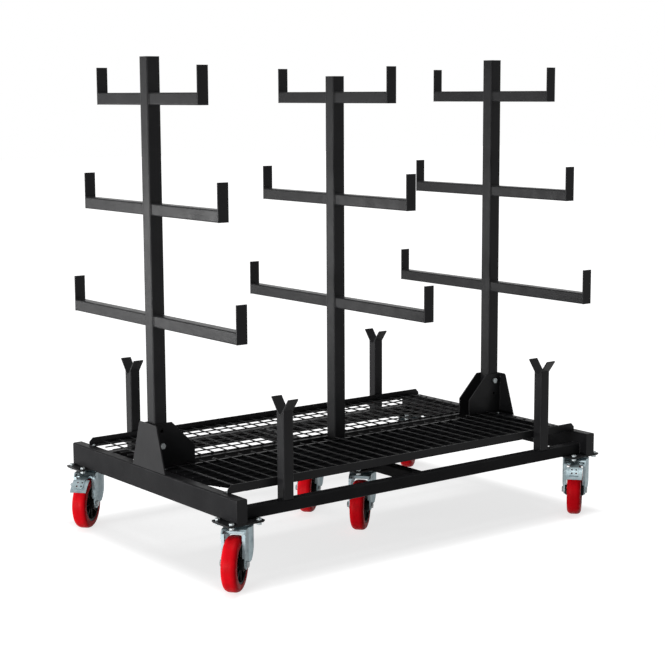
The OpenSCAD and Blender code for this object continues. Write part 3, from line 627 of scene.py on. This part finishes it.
def frame_pieces():
    """Tubes, plates and angles with the slightly rounded edges that the coat leaves"""
    # The beams and rails take the less glossy copy of the coat, as painted shade
    for node in ("left_end_beam", "right_end_beam", "front_rail", "rear_rail", "centre_cross_beam"):
        softened(node, TUBE_EDGE, 1, finish=PAINTED_SHADE_CHASSIS_COAT)
    for node in ("left_mast", "middle_mast", "right_mast", "left_mast_arms", "middle_mast_arms",
                 "right_mast_arms", "saddle_posts"):
        softened(node, TUBE_EDGE, 1)
    for node in ("beam_end_caps", "left_mast_bracket", "right_mast_bracket", "castor_mounting_plates",
                 "castor_top_plates", "left_mast_upstands", "middle_mast_upstands",
                 "right_mast_upstands", "front_outer_angle", "rear_outer_angle",
                 "front_inner_angle", "rear_inner_angle"):
        softened(node, PLATE_EDGE)
    # The sheet takes the glossless copy of the coat, as painted shade
    softened("front_deck_sheet", SHEET_EDGE, 1, finish=PAINTED_SHADE_SHEET_COAT, reach=SHEET_REACH)
    softened("v_saddles", SADDLE_EDGE)
    softened("mast_caps", CAP_EDGE, 3)


def fasteners():
    """Bolts and nuts with the slight chamfers of real ones"""
    for node in ("deck_bolts", "mast_bolts", "castor_bolts", "castor_nuts"):
        softened(node, BOLT_EDGE, above=25)


# Castors

def swivel_heads():
    """Races, forks, axle bolts and brake pedals"""
    softened("castor_swivel_races", RACE_EDGE, above=25)
    for castor in CASTORS:
        softened(castor + "_fork", FORK_EDGE, above=28)
        softened(castor + "_axle_bolt", BOLT_EDGE, above=25)
    for castor in BRAKED:
        softened(castor + "_brake_pedal", PEDAL_EDGE, above=28)


def axle_place(castor):
    """Placement of a wheel: its axle along Z, at the middle of its tread"""
    joint = next(j for j in frame["joints"] if j["name"] == castor + "_wheel_roll")
    axis = Vector(joint["axis"]).normalized()
    return Matrix.Translation(joint["pos_m"]) @ axis.to_track_quat("Z", "Y").to_matrix().to_4x4()


def shoulder(side):
    """Points round the elliptic shoulder of a tread, from its lower end to its upper one"""
    steps = 12
    start = -pi / 2 if side < 0 else 0.0
    turns = [start + pi / 2 * i / steps for i in range(steps + 1)]
    return [(WHEEL_R - SHOULDER_DROP + SHOULDER_DROP * cos(turn),
             side * (TREAD_HALF - SHOULDER) + SHOULDER * sin(turn)) for turn in turns]


def tread_profile():
    """Section of a tread with broad round shoulders and a faint moulding line round its middle"""
    line = MOULD_LINE
    return [(RIM_R, -TREAD_HALF), *shoulder(-1),
            (WHEEL_R, -2 * line), (WHEEL_R - line, -line), (WHEEL_R - line, line), (WHEEL_R, 2 * line),
            *shoulder(1), (RIM_R, TREAD_HALF)]


def treads():
    """Turned red treads, in the space of the CAD ones"""
    for castor in CASTORS:
        node = castor + "_tread"
        mesh = lathe(node, tread_profile(), axle_place(castor), TREAD_STEPS)
        show(node + "_cast", mesh, BODY_OF[node], "red_tread", (node,))


def hubs():
    """Moulded hubs with soft edges"""
    for castor in CASTORS:
        softened(castor + "_hub", HUB_EDGE, above=28)


# Studio

FLOOR_SIDE = 60
FLOOR_DROP = 0.5 * MM
FLOOR_GREY = (0.40, 0.40, 0.40, 1)
# Painted shadow on the floor: the glow level inside it, its half sizes round the rack and the width of its soft
# edge
PAINTED_SHADOW_GLOW = 0.745
PAINTED_SHADOW_HALVES = {"X": 0.84, "Y": 0.57}
PAINTED_SHADOW_EDGE = 0.05
WORLD_LEVEL = 0.12
WORLD_TINT = (0.96, 0.98, 1.0, 1)


def greater(tree, first, second):
    """The greater of two numbers"""
    return tree.node("ShaderNodeMath", {0: first, 1: second}, operation="MAXIMUM").outputs["Value"]


def where_looked_at(tree, spread, shown):
    """One shader for the light that spreads, and another where a camera, gloss or glass looks"""
    rays = tree.node("ShaderNodeLightPath").outputs
    seen = rays["Is Camera Ray"]
    for kind in ("Is Glossy Ray", "Is Transmission Ray"):
        seen = greater(tree, seen, rays[kind])
    return tree.node("ShaderNodeMixShader", {"Fac": seen, 1: spread, 2: shown}).outputs["Shader"]


def studio_floor():
    """A floor that looks white, with a soft grey shadow painted below the rack, over the shadow that the lamps
    cast
    """
    centre = middle()
    bpy.ops.mesh.primitive_plane_add(size=FLOOR_SIDE, location=(centre.x, centre.y, -FLOOR_DROP))
    floor = bpy.context.object
    floor.name = "studio_floor"
    material = bpy.data.materials.new("studio_floor")
    material.use_nodes = True
    tree = Tree(material.node_tree)
    tree.tree.nodes.clear()
    place = tree.node("ShaderNodeTexCoord").outputs["Object"]
    place = tree.node("ShaderNodeVectorMath", {0: place}, operation="ABSOLUTE").outputs["Vector"]
    place = tree.node("ShaderNodeSeparateXYZ", {"Vector": place}).outputs
    # Painted shadow: the white glow for camera, gloss and glass rays falls to a grey level inside a soft-edged box
    # under the rack
    edges = [tree.node("ShaderNodeMapRange", {
        "Value": place[axis], "From Min": half - PAINTED_SHADOW_EDGE, "From Max": half + PAINTED_SHADOW_EDGE,
        "To Min": PAINTED_SHADOW_GLOW}, interpolation_type="SMOOTHSTEP").outputs["Result"]
        for axis, half in PAINTED_SHADOW_HALVES.items()]
    white_with_painted_shadow = tree.node("ShaderNodeEmission", {"Strength": greater(tree, *edges)}).outputs["Emission"]
    none = tree.node("ShaderNodeEmission", {"Strength": 0.0}).outputs["Emission"]
    lit = tree.node("ShaderNodeBsdfDiffuse", {"Color": FLOOR_GREY}).outputs["BSDF"]
    both = tree.node("ShaderNodeAddShader", {0: lit, 1: where_looked_at(tree, none, white_with_painted_shadow)})
    tree.node("ShaderNodeOutputMaterial", {"Surface": both.outputs["Shader"]})
    floor.data.materials.append(material)


def studio_world():
    """White behind the object where it is looked at, and a soft even grey for everything else"""
    world = bpy.data.worlds.new("studio")
    bpy.context.scene.world = world
    world.use_nodes = True
    tree = Tree(world.node_tree)
    tree.tree.nodes.clear()
    white, soft = [
        tree.node("ShaderNodeBackground", {"Color": colour, "Strength": level}).outputs["Background"]
        for colour, level in (((1, 1, 1, 1), 1.0), (WORLD_TINT, WORLD_LEVEL))]
    tree.node("ShaderNodeOutputWorld", {"Surface": where_looked_at(tree, soft, white)})


def softbox(name, place, aim, width, height, power):
    """A rectangular lamp that faces a point"""
    lamp = bpy.data.lights.new(name, "AREA")
    lamp.shape = "RECTANGLE"
    lamp.size, lamp.size_y = width, height
    lamp.energy = power
    made = bpy.data.objects.new(name, lamp)
    made.location = place
    made.rotation_mode = "QUATERNION"
    made.rotation_quaternion = (Vector(aim) - Vector(place)).to_track_quat("-Z", "Y")
    bpy.context.scene.collection.objects.link(made)


def lights():
    """Broad parallel light straight down, and softboxes low beyond the left end and behind it"""
    down = bpy.data.lights.new("overhead", "SUN")
    down.energy = 0.9
    down.angle = radians(22)
    made = bpy.data.objects.new("overhead", down)
    made.location = (0, 0, 4)
    bpy.context.scene.collection.objects.link(made)
    softbox("left_softbox", (-5.4, -1.2, 0.34), (-0.2, 0, 0.5), 3.2, 0.55, 215)
    softbox("rear_left_softbox", (-4.3, 3.8, 0.55), (-0.4, 0, 0.7), 2.2, 1.0, 95)


CAMERA_YAW = radians(37.36)
CAMERA_PITCH = radians(-8.56)
CAMERA_ROLL = radians(-0.27)
CAMERA_FROM_CENTRE = (-3.488, -4.549)
CAMERA_HEIGHT = 1.552
SENSOR_MM = 36
LENS_MM = 86.15


def camera():
    """The photograph's viewpoint: seen from the front left corner, a little above the arms"""
    level, tilt = cos(CAMERA_PITCH), sin(CAMERA_PITCH)
    forward = Vector((sin(CAMERA_YAW) * level, cos(CAMERA_YAW) * level, tilt))
    right = Vector((cos(CAMERA_YAW), -sin(CAMERA_YAW), 0))
    up = right.cross(forward)
    across = cos(CAMERA_ROLL) * right + sin(CAMERA_ROLL) * up
    upward = -sin(CAMERA_ROLL) * right + cos(CAMERA_ROLL) * up
    data = bpy.data.cameras.new("camera")
    data.sensor_width = SENSOR_MM
    data.lens = LENS_MM
    made = bpy.data.objects.new("camera", data)
    bpy.context.scene.collection.objects.link(made)
    turn = Matrix((across, upward, -forward)).transposed().to_4x4()
    centre = middle()
    x, y = CAMERA_FROM_CENTRE
    made.matrix_world = Matrix.Translation((centre.x + x, centre.y + y, CAMERA_HEIGHT)) @ turn
    bpy.context.scene.camera = made


frame_pieces()
deck_meshes()
weld_beads()
fasteners()
swivel_heads()
treads()
hubs()
studio_floor()
studio_world()
lights()
camera()
bpy.context.scene.view_settings.view_transform = "Standard"
